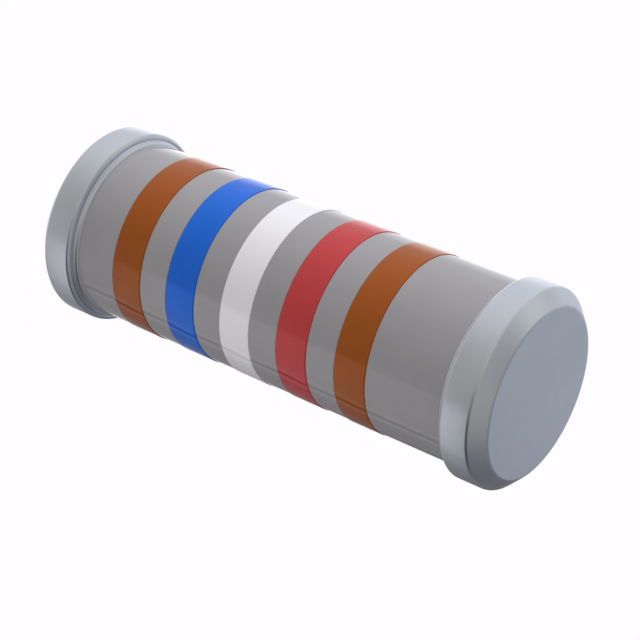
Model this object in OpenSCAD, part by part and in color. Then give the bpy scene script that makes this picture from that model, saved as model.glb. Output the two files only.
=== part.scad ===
// Leadless cylindrical film resistor, standing on the face of its lower end cap.
// Z is the axis of the rod, and z = 0 is the lower end face. Lengths are in millimetres.
// Sizes build outwards from the rod: film, then lacquer or cap wall, then ink.

/* [Overall] */
// Length over both end caps
overall_length = 5.9; // [5.2:0.1:9]

/* [Ceramic rod] */
// Diameter of the bare rod
rod_diameter = 1.86; // [1.2:0.02:3]
// Radius of the tumbled edge at each end of the rod
rod_edge_radius = 0.08; // [0.05:0.01:0.14]

/* [Resistive film] */
// Thickness of the film, drawn far thicker than the real one so that it can be seen
film_thickness = 0.02; // [0.01:0.005:0.05]
// Turns that the trimming cut makes round the rod
trim_turns = 6; // [2:1:8]
// Width of the trimming cut, measured along the rod
trim_width = 0.07; // [0.04:0.01:0.12]
// Uncut film between the mouth of each cap and the trimming cut
trim_margin = 0.35; // [0.1:0.05:0.8]

/* [Lacquer] */
// Thickness of the lacquer over the film
lacquer_thickness = 0.05; // [0.02:0.01:0.08]

/* [End caps] */
// Radial clearance of the cap's bore on the film, none because the cap is pressed on
cap_clearance = 0; // [0:0.001:0.01]
// Thickness of the cap's side wall
cap_wall = 0.15; // [0.13:0.01:0.3]
// Thickness of the cap's flat end
cap_floor = 0.15; // [0.12:0.01:0.3]
// Length of the cap from its end face to the foot of its sloping rim
cap_length = 0.5; // [0.3:0.01:0.9]
// How far the coined bevel comes in from the side of the cap
bevel_depth = 0.16; // [0.05:0.01:0.25]
// How far the coined bevel runs along the cap
bevel_length = 0.15; // [0.05:0.01:0.2]
// Radius that softens the two edges of the bevel
bevel_edge_radius = 0.03; // [0.005:0.005:0.04]
// How far the slope of the rim runs along the cap
rim_slope = 0.03; // [0.01:0.005:0.05]
// Radius that softens the outer edge of the rim
rim_edge_radius = 0.02; // [0.005:0.005:0.05]
// How far the collar inside the rim stands above the lacquer
collar_step = 0.045; // [0.01:0.005:0.07]
// How far the collar reaches out of the cap's rim
collar_length = 0.05; // [0.04:0.01:0.15]
// Length of the slope at the free end of the collar
collar_slope = 0.035; // [0.01:0.005:0.045]
// How much tighter the cup's inside corner is than the edge of the rod
corner_relief = 0.02; // [0.01:0.005:0.04]

/* [Colour bands] */
// Bare lacquer between the mouth of the lower cap and the first band
first_band_gap = 0.5; // [0.05:0.005:1.3]
// Bare lacquer between the last band and the mouth of the upper cap, wider so that the
// code is read from the other end
last_band_gap = 0.9; // [0.05:0.005:1.9]
// Width of each band
band_width = 0.4; // [0.1:0.05:0.65]
// Thickness of the ink on the lacquer
ink_thickness = 0.008; // [0.004:0.001:0.02]

/* [Hidden] */
$fn = 96;
corner_steps = 4;
cut_steps_per_turn = 24;
cut_sides = 3;
cut_overshoot = 0.01;

rod_radius = rod_diameter / 2;
film_radius = rod_radius + film_thickness;
lacquer_radius = film_radius + lacquer_thickness;
ink_radius = lacquer_radius + ink_thickness;
bore_radius = film_radius + cap_clearance;
cap_radius = bore_radius + cap_wall;
face_radius = cap_radius - bevel_depth;
collar_radius = lacquer_radius + collar_step;
cup_corner_radius = rod_edge_radius - corner_relief;

mouth_height = cap_length + collar_length;
lacquer_length = overall_length - 2 * mouth_height;
rod_length = overall_length - 2 * cap_floor;
film_start = cap_floor + rod_edge_radius;
film_length = overall_length - 2 * film_start;
trim_start = mouth_height + trim_margin;
trim_length = overall_length - 2 * trim_start;
trim_pitch = trim_length / trim_turns;
first_band_start = mouth_height + first_band_gap;
band_count = 5;
band_pitch = (lacquer_length - first_band_gap - last_band_gap - band_width) / (band_count - 1);

tin = [0.62, 0.65, 0.69];
grey_lacquer = [0.52, 0.51, 0.53];
alumina = [0.93, 0.91, 0.86];
nickel_chrome = [0.46, 0.45, 0.44];
brown_ink = [0.52, 0.28, 0.15];
blue_ink = [0.14, 0.36, 0.74];
white_ink = [0.88, 0.88, 0.90];
red_ink = [0.68, 0.23, 0.25];

function unit(v) = v / norm(v);

function rotated(p, angle) = [
    p.x * cos(angle) - p.y * sin(angle),
    p.x * sin(angle) + p.y * cos(angle)
];

// The arc of radius r that rounds corner b, on the way from a to c
function rounded_corner(a, b, c, r) =
    let (
        to_a = unit(a - b),
        to_c = unit(c - b),
        half_angle = acos(to_a * to_c) / 2,
        centre = b + unit(to_a + to_c) * r / sin(half_angle),
        first = b + to_a * r / tan(half_angle) - centre,
        turn = -sign(cross(to_a, to_c)) * (180 - 2 * half_angle)
    )
    [for (i = [0:corner_steps]) centre + rotated(first, turn * i / corner_steps)];

// A closed outline from [point, radius] pairs, where a radius of 0 leaves the corner sharp
function rounded_outline(corners) =
    let (n = len(corners))
    [for (i = [0:n - 1])
        let (b = corners[i][0], r = corners[i][1])
        each r == 0
            ? [b]
            : rounded_corner(corners[(i + n - 1) % n][0], b, corners[(i + 1) % n][0], r)];

// A plain tube between two radii
module sleeve(inner, outer, start, length) {
    translate([0, 0, start])
        rotate_extrude()
            translate([inner, 0])
                square([outer - inner, length]);
}

// The ceramic core, with the edges of both ends tumbled round
module ceramic_rod() {
    color(alumina)
        translate([0, 0, cap_floor])
            rotate_extrude()
                polygon(rounded_outline([
                    [[0, 0], 0],
                    [[rod_radius, 0], rod_edge_radius],
                    [[rod_radius, rod_length], rod_edge_radius],
                    [[0, rod_length], 0]
                ]));
}

// The part of a ring between two radii that spans an angle
module ring_sector(inner, outer, angle, steps) {
    polygon(concat(
        [for (i = [0:steps]) outer * [cos(angle * i / steps), sin(angle * i / steps)]],
        [for (i = [steps:-1:0]) inner * [cos(angle * i / steps), sin(angle * i / steps)]]
    ));
}

// What the trimming beam takes out of the film: a helical slot right through it
module trimming_cut() {
    translate([0, 0, trim_start])
        linear_extrude(
            height = trim_length,
            twist = -360 * trim_turns,
            slices = trim_turns * cut_steps_per_turn,
            segments = 2 * (cut_sides + 1)
        )
            ring_sector(
                rod_radius - cut_overshoot,
                film_radius + cut_overshoot,
                360 * trim_width / trim_pitch,
                cut_sides
            );
}

// The metal film on the rod, which the cut leaves as a long ribbon between two whole ends
module resistive_film() {
    color(nickel_chrome)
        difference() {
            sleeve(rod_radius, film_radius, film_start, film_length);
            trimming_cut();
        }
}

// A drawn cup: flat face, coined bevel, straight side, and a rim that slopes down to a collar
module end_cap() {
    color(tin)
        rotate_extrude()
            polygon(rounded_outline([
                [[0, 0], 0],
                [[face_radius, 0], bevel_edge_radius],
                [[cap_radius, bevel_length], bevel_edge_radius],
                [[cap_radius, cap_length - rim_slope], rim_edge_radius],
                [[collar_radius, cap_length], 0],
                [[collar_radius, mouth_height - collar_slope], 0],
                [[lacquer_radius, mouth_height], 0],
                [[bore_radius, mouth_height], 0],
                [[bore_radius, cap_floor], cup_corner_radius],
                [[0, cap_floor], 0]
            ]));
}

module lower_end_cap() {
    end_cap();
}

module upper_end_cap() {
    translate([0, 0, overall_length])
        mirror([0, 0, 1])
            end_cap();
}

// The lacquer, from the collar of one cap to the collar of the other
module lacquer_coat() {
    color(grey_lacquer)
        sleeve(film_radius, lacquer_radius, mouth_height, lacquer_length);
}

// A ring of ink, where index counts the bands from the lower end
module ink_band(index, ink) {
    color(ink)
        sleeve(lacquer_radius, ink_radius, first_band_start + index * band_pitch, band_width);
}

module first_digit_band() {
    ink_band(0, brown_ink);
}

module second_digit_band() {
    ink_band(1, blue_ink);
}

module third_digit_band() {
    ink_band(2, white_ink);
}

module multiplier_band() {
    ink_band(3, red_ink);
}

module tolerance_band() {
    ink_band(4, brown_ink);
}

ceramic_rod();
resistive_film();
lower_end_cap();
upper_end_cap();
lacquer_coat();
first_digit_band();
second_digit_band();
third_digit_band();
multiplier_band();
tolerance_band();
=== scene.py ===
import math

import bmesh
import bpy
from mathutils import Matrix, Quaternion, Vector


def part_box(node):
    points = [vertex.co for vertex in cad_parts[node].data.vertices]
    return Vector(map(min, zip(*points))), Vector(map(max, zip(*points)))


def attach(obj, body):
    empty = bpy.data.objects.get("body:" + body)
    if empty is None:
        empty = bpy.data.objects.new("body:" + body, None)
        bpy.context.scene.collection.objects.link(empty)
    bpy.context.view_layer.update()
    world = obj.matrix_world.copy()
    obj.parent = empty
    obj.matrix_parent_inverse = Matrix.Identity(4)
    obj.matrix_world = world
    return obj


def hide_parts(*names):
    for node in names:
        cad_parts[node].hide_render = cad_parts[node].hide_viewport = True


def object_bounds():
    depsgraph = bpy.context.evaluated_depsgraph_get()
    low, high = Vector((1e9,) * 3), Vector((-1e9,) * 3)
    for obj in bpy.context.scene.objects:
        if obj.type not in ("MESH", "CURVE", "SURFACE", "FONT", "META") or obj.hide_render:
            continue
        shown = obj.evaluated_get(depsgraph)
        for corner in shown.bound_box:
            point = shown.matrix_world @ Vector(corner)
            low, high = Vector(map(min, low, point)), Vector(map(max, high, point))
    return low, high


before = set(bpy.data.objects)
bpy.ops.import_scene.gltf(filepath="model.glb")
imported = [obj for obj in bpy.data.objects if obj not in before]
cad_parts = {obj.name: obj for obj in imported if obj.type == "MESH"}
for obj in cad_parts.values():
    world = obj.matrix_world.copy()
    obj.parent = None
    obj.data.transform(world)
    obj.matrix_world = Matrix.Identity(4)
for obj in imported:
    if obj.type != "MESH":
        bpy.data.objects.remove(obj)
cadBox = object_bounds()
mm = 0.001
scene = bpy.context.scene
print("Frame loaded:", len(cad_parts), "nodes")

# Camera
cameraSettings = {
    "location": (-0.15, -20.349, 15.155),   # mm
    "lookAt": (0.1535, 0, 3.198),
    "roll": 112.53,        # degrees; the part stands on end and lies across the picture
    "focalLength": 124.22,   # mm, on a 36 mm sensor
    "nearest": 1,         # mm, how close to the lens things still show
    "farthest": 2000,
}


def addCamera(settings):
    data = bpy.data.cameras.new("studioCamera")
    data.lens = settings["focalLength"]
    data.clip_start = settings["nearest"] * mm
    data.clip_end = settings["farthest"] * mm
    camera = bpy.data.objects.new("studioCamera", data)
    scene.collection.objects.link(camera)
    place = Vector(settings["location"]) * mm
    sight = Vector(settings["lookAt"]) * mm - place
    aim = sight.to_track_quat("-Z", "Y")
    roll = Quaternion((0, 0, 1), math.radians(settings["roll"]))
    camera.matrix_world = Matrix.Translation(place) @ (aim @ roll).to_matrix().to_4x4()
    scene.camera = camera


addCamera(cameraSettings)
scene.view_settings.view_transform = "Standard"
print("Camera placed")

# Soft studio light: a tent of glowing patches and white cards, so far off that only their
# direction counts. Angles are in degrees, and the tent also shines from below.
studioSettings = {
    "ambient": 0.004,
    "background": (1.0, 0.982, 1.0),
    # azimuth, elevation, focus (higher is narrower), strength, colour
    "patches": {
        "broadTop": (161, -33, 1.8, 0.69, (0.99, 1.0, 1.03)),
        "frontFill": (336, -50, 4, 0.42, (1.03, 1.0, 0.98)),
        "overhead": (123, 60, 0.25, 0.19, (1.0, 1.0, 1.07)),
        "endTop": (337, 58, 7.2, 0.19, (1.07, 1.0, 0.84)),
        "lowBack": (98, -43, 17, 1.20, (1.08, 1.0, 1.01)),
        "highSide": (161, 44, 10.5, 0.415, (0.96, 1.0, 0.88)),
        "front": (249, 3, 1.65, 0.467, (1.05, 1.0, 0.93)),
        "underFront": (265, -85, 17, 0.375, (1.0, 1.0, 1.04)),
        "topGlow": (89, 72, 23, 0.056, (0.98, 1.0, 0.96)),
    },
    # azimuth, elevation, width, height, softness of the edges, strength, colour
    "cards": {
        "backdrop": (107.5, -16, 55, 119, 8, 0.226, (0.94, 1.0, 1.10)),
        "lowFront": (353, -29.5, 71, 19, 3, 0.27, (0.98, 1.0, 1.02)),
        "bounce": (37, -38, 48, 81, 4, 0.164, (1.0, 1.0, 1.08)),
    },
    # a dark card: azimuth, elevation, width, height, softness, how much light it takes away
    "flag": (21.2, -31, 5.2, 67, 4, 0.98),
    # lamps that give no highlight and no shadow: azimuth, elevation, strength
    "lamps": {
        "leftLamp": (190, 0, 1.58),
        "cameraLamp": (253, 5, 0.35),
        "rightLamp": (339, 0, 0.79),
    },
    "lampSpread": 20,
}


def unitVector(azimuth, elevation):
    turn, rise = math.radians(azimuth), math.radians(elevation)
    reach = math.cos(rise)
    return Vector((math.cos(turn) * reach, math.sin(turn) * reach, math.sin(rise)))


def mathNode(tree, operation, *inputs):
    node = tree.nodes.new("ShaderNodeMath")
    node.operation = operation
    for socket, value in zip(node.inputs, inputs):
        if isinstance(value, bpy.types.NodeSocket):
            tree.links.new(value, socket)
        else:
            socket.default_value = value
    return node.outputs[0]


def facing(tree, direction, vector):
    node = tree.nodes.new("ShaderNodeVectorMath")
    node.operation = "DOT_PRODUCT"
    tree.links.new(direction, node.inputs[0])
    node.inputs[1].default_value = vector
    return node.outputs["Value"]


def fadeOut(tree, angle, limit, softness):
    node = tree.nodes.new("ShaderNodeMapRange")
    node.interpolation_type = "SMOOTHSTEP"
    node.inputs["From Min"].default_value = math.radians(limit - softness / 2)
    node.inputs["From Max"].default_value = math.radians(limit + softness / 2)
    node.inputs["To Min"].default_value = 1
    node.inputs["To Max"].default_value = 0
    tree.links.new(angle, node.inputs["Value"])
    return node.outputs["Result"]


def patchLevel(tree, direction, azimuth, elevation, focus):
    level = mathNode(tree, "MAXIMUM", facing(tree, direction, unitVector(azimuth, elevation)), 0)
    return mathNode(tree, "POWER", level, focus)


def cardLevel(tree, direction, azimuth, elevation, width, height, softness):
    ahead = facing(tree, direction, unitVector(azimuth, 0))
    aside = facing(tree, direction, unitVector(azimuth + 90, 0))
    sideways = mathNode(tree, "ABSOLUTE", mathNode(tree, "ARCTAN2", aside, ahead))
    rise = mathNode(tree, "ARCSINE", facing(tree, direction, (0, 0, 1)))
    upward = mathNode(tree, "ABSOLUTE", mathNode(tree, "SUBTRACT", rise, math.radians(elevation)))
    across = fadeOut(tree, sideways, width / 2, softness)
    return mathNode(tree, "MULTIPLY", across, fadeOut(tree, upward, height / 2, softness))


def addStudioWorld(settings):
    world = bpy.data.worlds.new("softStudio")
    world.use_nodes = True
    tree = world.node_tree
    tree.nodes.clear()
    direction = tree.nodes.new("ShaderNodeTexCoord").outputs["Generated"]
    levels = []
    for name, (*shape, strength, colour) in settings["patches"].items():
        levels.append((name, patchLevel(tree, direction, *shape), strength, colour))
    for name, (*shape, strength, colour) in settings["cards"].items():
        levels.append((name, cardLevel(tree, direction, *shape), strength, colour))
    total = None
    for name, level, strength, colour in levels:
        tinted = tree.nodes.new("ShaderNodeVectorMath")
        tinted.operation = "MULTIPLY_ADD"
        tinted.label = name
        tinted.inputs[1].default_value = [strength * part for part in colour]
        tinted.inputs[2].default_value = [settings["ambient"]] * 3
        tree.links.new(level, tinted.inputs[0])
        if total is not None:
            tree.links.new(total, tinted.inputs[2])
        total = tinted.outputs["Vector"]
    *shape, share = settings["flag"]
    flag = cardLevel(tree, direction, *shape)
    left = mathNode(tree, "SUBTRACT", 1, mathNode(tree, "MULTIPLY", flag, share))
    lit = tree.nodes.new("ShaderNodeBackground")
    tree.links.new(total, lit.inputs["Color"])
    tree.links.new(left, lit.inputs["Strength"])
    plain = tree.nodes.new("ShaderNodeBackground")
    plain.inputs["Color"].default_value = (*settings["background"], 1)
    path = tree.nodes.new("ShaderNodeLightPath")
    either = tree.nodes.new("ShaderNodeMixShader")
    tree.links.new(path.outputs["Is Camera Ray"], either.inputs["Fac"])
    tree.links.new(lit.outputs["Background"], either.inputs[1])
    tree.links.new(plain.outputs["Background"], either.inputs[2])
    output = tree.nodes.new("ShaderNodeOutputWorld")
    tree.links.new(either.outputs["Shader"], output.inputs["Surface"])
    scene.world = world


def addSun(name, azimuth, elevation, strength, spread):
    data = bpy.data.lights.new(name, "SUN")
    data.energy = strength
    data.angle = math.radians(spread)
    data.use_shadow = False
    lamp = bpy.data.objects.new(name, data)
    lamp.rotation_mode = "QUATERNION"
    lamp.rotation_quaternion = unitVector(azimuth, elevation).to_track_quat("Z", "Y")
    lamp.visible_glossy = False    # no highlight of its own
    scene.collection.objects.link(lamp)


addStudioWorld(studioSettings)
for name, placement in studioSettings["lamps"].items():
    addSun(name, *placement, studioSettings["lampSpread"])
print("Studio light set")

# Floor
floorSettings = {
    "size": 1200,                 # mm
    "colour": (0.04, 0.04, 0.04),
    "roughness": 0.9,
    "glow": (1.0, 0.967, 1.0),    # a light table, on which hardly any shadow shows
}


def addFloor(settings):
    mesh = bpy.data.meshes.new("floor")
    shape = bmesh.new()
    bmesh.ops.create_grid(shape, x_segments=1, y_segments=1, size=settings["size"] * mm / 2)
    shape.to_mesh(mesh)
    shape.free()
    floor = bpy.data.objects.new("floor", mesh)
    scene.collection.objects.link(floor)
    material = bpy.data.materials.new("milkGlass")
    material.use_nodes = True
    shader = material.node_tree.nodes["Principled BSDF"]
    shader.inputs["Base Color"].default_value = (*settings["colour"], 1)
    shader.inputs["Roughness"].default_value = settings["roughness"]
    shader.inputs["Specular IOR Level"].default_value = 0
    shader.inputs["Emission Color"].default_value = (*settings["glow"], 1)
    shader.inputs["Emission Strength"].default_value = 1
    mesh.materials.append(material)
    floor.visible_glossy = False   # the tent of light also shines from below
    floor.visible_diffuse = False
    floor.visible_shadow = False


addFloor(floorSettings)
print("Floor laid")


# Materials
def newMaterial(name):
    material = bpy.data.materials.new(name)
    material.use_nodes = True
    tree = material.node_tree
    place = tree.nodes.new("ShaderNodeMapping")
    place.inputs["Scale"].default_value = (1 / mm, 1 / mm, 1 / mm)   # patterns are laid out in mm
    coordinates = tree.nodes.new("ShaderNodeTexCoord")
    tree.links.new(coordinates.outputs["Object"], place.inputs["Vector"])
    return material, tree, tree.nodes["Principled BSDF"], place.outputs["Vector"]


noiseRange = (0.3, 0.7)   # most of a noise pattern lies between these levels


# Detail is the number of finer layers, and fineShare is how strongly they show
def noise(tree, vector, perMm, detail, fineShare=0.5):
    node = tree.nodes.new("ShaderNodeTexNoise")
    node.inputs["Scale"].default_value = perMm
    node.inputs["Detail"].default_value = detail
    node.inputs["Roughness"].default_value = fineShare
    tree.links.new(vector, node.inputs["Vector"])
    return node.outputs["Fac"]


def ramp(tree, level, limits, values):
    node = tree.nodes.new("ShaderNodeMapRange")
    node.inputs["From Min"].default_value, node.inputs["From Max"].default_value = limits
    node.inputs["To Min"].default_value, node.inputs["To Max"].default_value = values
    tree.links.new(level, node.inputs["Value"])
    return node.outputs["Result"]


def blendColours(tree, level, first, second):
    node = tree.nodes.new("ShaderNodeMix")
    node.data_type = "RGBA"
    node.inputs["A"].default_value = (*first, 1)
    node.inputs["B"].default_value = (*second, 1)
    tree.links.new(level, node.inputs["Factor"])
    return node.outputs["Result"]


def bump(tree, height, depthMm):
    node = tree.nodes.new("ShaderNodeBump")
    node.inputs["Strength"].default_value = 1
    node.inputs["Distance"].default_value = depthMm * mm
    tree.links.new(height, node.inputs["Height"])
    return node.outputs["Normal"]


tinSettings = {
    "dark": (0.725, 0.772, 0.845),
    "light": (0.761, 0.808, 0.882),
    "roughness": (0.28, 0.32),
    "cloudsPerMm": 1.6,
    "cloudDetail": 4,
    "cloudRange": (0.35, 0.65),   # the noise levels of the dark and the light shade
    "grainPerMm": 28,
    "grainDetail": 3,
    "grainDepth": 0.0004,         # mm
}


def makeTin(settings):
    material, tree, shader, vector = newMaterial("tinPlate")
    clouds = noise(tree, vector, settings["cloudsPerMm"], settings["cloudDetail"])
    shade = ramp(tree, clouds, settings["cloudRange"], (0, 1))
    base = blendColours(tree, shade, settings["dark"], settings["light"])
    grain = noise(tree, vector, settings["grainPerMm"], settings["grainDetail"])
    roughness = ramp(tree, grain, noiseRange, settings["roughness"])
    tree.links.new(base, shader.inputs["Base Color"])
    tree.links.new(roughness, shader.inputs["Roughness"])
    tree.links.new(bump(tree, grain, settings["grainDepth"]), shader.inputs["Normal"])
    shader.inputs["Metallic"].default_value = 1
    return material


# The dark and the light shade of each paint
paintSettings = {
    "greyLacquer": ((0.346, 0.339, 0.363), (0.366, 0.359, 0.383)),
    "brownInk": ((0.337, 0.077, 0.001), (0.367, 0.083, 0.002)),
    "blueInk": ((0.001, 0.131, 0.691), (0.002, 0.143, 0.751)),
    "whiteInk": ((0.889, 0.884, 0.94), (0.909, 0.904, 0.96)),
    "redInk": ((0.529, 0.045, 0.051), (0.569, 0.049, 0.056)),
}
paintFinish = {
    "metallic": 0.15,      # flakes in the paint
    "refraction": 1.5,
    "roughness": (0.10, 0.12),
    "mottlePerMm": 3.5,
    "mottleDetail": 5,
    "mottleFineShare": 0.6,
    "peelPerMm": 5,
    "peelDetail": 2,
    "peelDepth": 0.0003,   # mm
}


def makePaint(name, colours, finish):
    material, tree, shader, vector = newMaterial(name)
    mottle = noise(
        tree, vector, finish["mottlePerMm"], finish["mottleDetail"], finish["mottleFineShare"],
    )
    base = blendColours(tree, ramp(tree, mottle, noiseRange, (0, 1)), *colours)
    roughness = ramp(tree, mottle, noiseRange, finish["roughness"])
    peel = noise(tree, vector, finish["peelPerMm"], finish["peelDetail"])
    tree.links.new(base, shader.inputs["Base Color"])
    tree.links.new(roughness, shader.inputs["Roughness"])
    tree.links.new(bump(tree, peel, finish["peelDepth"]), shader.inputs["Normal"])
    shader.inputs["Metallic"].default_value = finish["metallic"]
    shader.inputs["IOR"].default_value = finish["refraction"]
    return material


aluminaSettings = {
    "dark": (0.78, 0.75, 0.68),
    "light": (0.92, 0.90, 0.85),
    "roughness": 0.75,
    "grainPerMm": 14,
    "grainDetail": 6,
    "grainFineShare": 0.65,
    "grainDepth": 0.004,   # mm
}


def makeAlumina(settings):
    material, tree, shader, vector = newMaterial("alumina")
    grain = noise(
        tree, vector, settings["grainPerMm"], settings["grainDetail"], settings["grainFineShare"],
    )
    base = blendColours(tree, grain, settings["dark"], settings["light"])
    tree.links.new(base, shader.inputs["Base Color"])
    tree.links.new(bump(tree, grain, settings["grainDepth"]), shader.inputs["Normal"])
    shader.inputs["Roughness"].default_value = settings["roughness"]
    return material


filmSettings = {
    "dark": (0.28, 0.27, 0.26),
    "light": (0.38, 0.37, 0.36),
    "roughness": (0.32, 0.5),
    "grainPerMm": 9,
    "grainDetail": 4,
    "grainDepth": 0.0008,   # mm
}


def makeFilm(settings):
    material, tree, shader, vector = newMaterial("nickelChromeFilm")
    grain = noise(tree, vector, settings["grainPerMm"], settings["grainDetail"])
    base = blendColours(tree, grain, settings["dark"], settings["light"])
    roughness = ramp(tree, grain, noiseRange, settings["roughness"])
    tree.links.new(base, shader.inputs["Base Color"])
    tree.links.new(roughness, shader.inputs["Roughness"])
    tree.links.new(bump(tree, grain, settings["grainDepth"]), shader.inputs["Normal"])
    shader.inputs["Metallic"].default_value = 1
    return material


tin = makeTin(tinSettings)
paints = {name: makePaint(name, colours, paintFinish) for name, colours in paintSettings.items()}
print("Materials mixed")

# Turned pieces: an outline of corners is softened, then spun round the part's axis
turning = {
    "steps": 180,
    "cornerSteps": 6,
    "weld": 0.0005,   # mm, corners closer than this become one
}


def turnedPiece(name, outline, closed):
    # Each corner has its radius, its height and how far its softening reaches along the sides
    shape = bmesh.new()
    corners = [shape.verts.new((radius, 0, height)) for radius, height, softness in outline]
    followers = corners[1:] + corners[:1] if closed else corners[1:]
    for corner, follower in zip(corners, followers):
        shape.edges.new((corner, follower))
    for corner, (radius, height, softness) in zip(corners, outline):
        if softness:
            bmesh.ops.bevel(
                shape, geom=[corner], offset=softness, offset_type="OFFSET", affect="VERTICES",
                segments=turning["cornerSteps"], profile=0.5, material=-1,
            )
    bmesh.ops.spin(
        shape, geom=shape.verts[:] + shape.edges[:], axis=(0, 0, 1), cent=(0, 0, 0),
        angle=math.tau, steps=turning["steps"], use_merge=True,
    )
    bmesh.ops.remove_doubles(shape, verts=shape.verts, dist=turning["weld"])
    bmesh.ops.recalc_face_normals(shape, faces=shape.faces)
    bmesh.ops.scale(shape, vec=(mm, mm, mm), verts=shape.verts)
    for face in shape.faces:
        face.smooth = True
    mesh = bpy.data.meshes.new(name)
    shape.to_mesh(mesh)
    shape.free()
    piece = bpy.data.objects.new(name, mesh)
    scene.collection.objects.link(piece)
    evener = piece.modifiers.new("evenShading", "WEIGHTED_NORMAL")
    evener.keep_sharp = True
    return piece


def standFor(piece, node, material):
    piece.data.materials.append(material)
    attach(piece, "root")
    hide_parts(node)


def boxInMm(node):
    low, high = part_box(node)
    return low / mm, high / mm


# End caps
capSettings = {
    "floor": 0.15,        # mm
    "bevelDepth": 0.16,
    "bevelLength": 0.15,
    "faceSoftness": 0.022,
    "bevelSoftness": 0.02,
    "rimLength": 0.47,    # from the end face to where the rim starts to close in
    "rimSoftness": 0.02,
    # radius, height and softness of the corners from the rim to the mouth
    "crease": [(1.062, 0.491, 0.003), (1.038, 0.478, 0.003), (1.040, 0.507, 0.006)],
    "lip": [(1.019, 0.525, 0.009), (1.014, 0.538, 0.003)],
    "boreDepth": 0.05,    # how far the bore lies under the surface of the lacquer
    "boreSoftness": 0.05,
}


def capOutline(settings, capRadius, mouth, lacquerRadius):
    boreRadius = lacquerRadius - settings["boreDepth"]
    return [
        (0, 0, 0),
        (capRadius - settings["bevelDepth"], 0, settings["faceSoftness"]),
        (capRadius, settings["bevelLength"], settings["bevelSoftness"]),
        (capRadius, settings["rimLength"], settings["rimSoftness"]),
        *settings["crease"],
        *settings["lip"],
        (lacquerRadius, mouth, 0),
        (boreRadius, mouth, 0),
        (boreRadius, settings["floor"], settings["boreSoftness"]),
        (0, settings["floor"], 0),
    ]


def makeCaps():
    capHigh = boxInMm("lower_end_cap")[1]
    lacquerHigh = boxInMm("lacquer_coat")[1]
    length = cadBox[1][2] / mm
    outline = capOutline(capSettings, capHigh.x, capHigh.z, lacquerHigh.x)
    lower = turnedPiece("lowerEndCap", outline, False)
    upturned = [(radius, length - height, softness) for radius, height, softness in outline]
    upper = turnedPiece("upperEndCap", upturned, False)
    standFor(lower, "lower_end_cap", tin)
    standFor(upper, "upper_end_cap", tin)


makeCaps()
print("Caps pressed")

# Lacquer
lacquerSettings = {
    "thickness": 0.05,    # mm
    "edgeSoftness": 0.002,
}


def ring(name, inner, outer, low, high, slope, softness):
    outline = [
        (inner, low, 0),
        (outer, low + slope, softness),
        (outer, high - slope, softness),
        (inner, high, 0),
    ]
    return turnedPiece(name, outline, True)


def makeLacquer():
    low, high = boxInMm("lacquer_coat")
    coat = ring(
        "lacquerCoat", high.x - lacquerSettings["thickness"], high.x, low.z, high.z,
        0, lacquerSettings["edgeSoftness"],
    )
    standFor(coat, "lacquer_coat", paints["greyLacquer"])


makeLacquer()
print("Lacquer on")

# Colour bands
bandSettings = {
    "thickness": 0.008,   # mm
    "edgeSlope": 0.01,    # how far in from its sides a band has its full thickness
    "edgeSoftness": 0.004,
    "bands": {
        "firstDigitBand": ("first_digit_band", "brownInk", "brown_ink"),
        "secondDigitBand": ("second_digit_band", "blueInk", "blue_ink"),
        "thirdDigitBand": ("third_digit_band", "whiteInk", "white_ink"),
        "multiplierBand": ("multiplier_band", "redInk", "red_ink"),
        "toleranceBand": ("tolerance_band", "brownInk", "brown_ink"),
    },
}


def makeBands():
    for name, (node, ink, slot) in bandSettings["bands"].items():
        low, high = boxInMm(node)
        band = ring(
            name, high.x - bandSettings["thickness"], high.x, low.z, high.z,
            bandSettings["edgeSlope"], bandSettings["edgeSoftness"],
        )
        standFor(band, node, paints[ink])


makeBands()
print("Bands printed")


# The rod and its film, hidden inside
def dressNode(node, material):
    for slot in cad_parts[node].material_slots:
        slot.material = material


dressNode("ceramic_rod", makeAlumina(aluminaSettings))
dressNode("resistive_film", makeFilm(filmSettings))
print("Inner pieces finished")
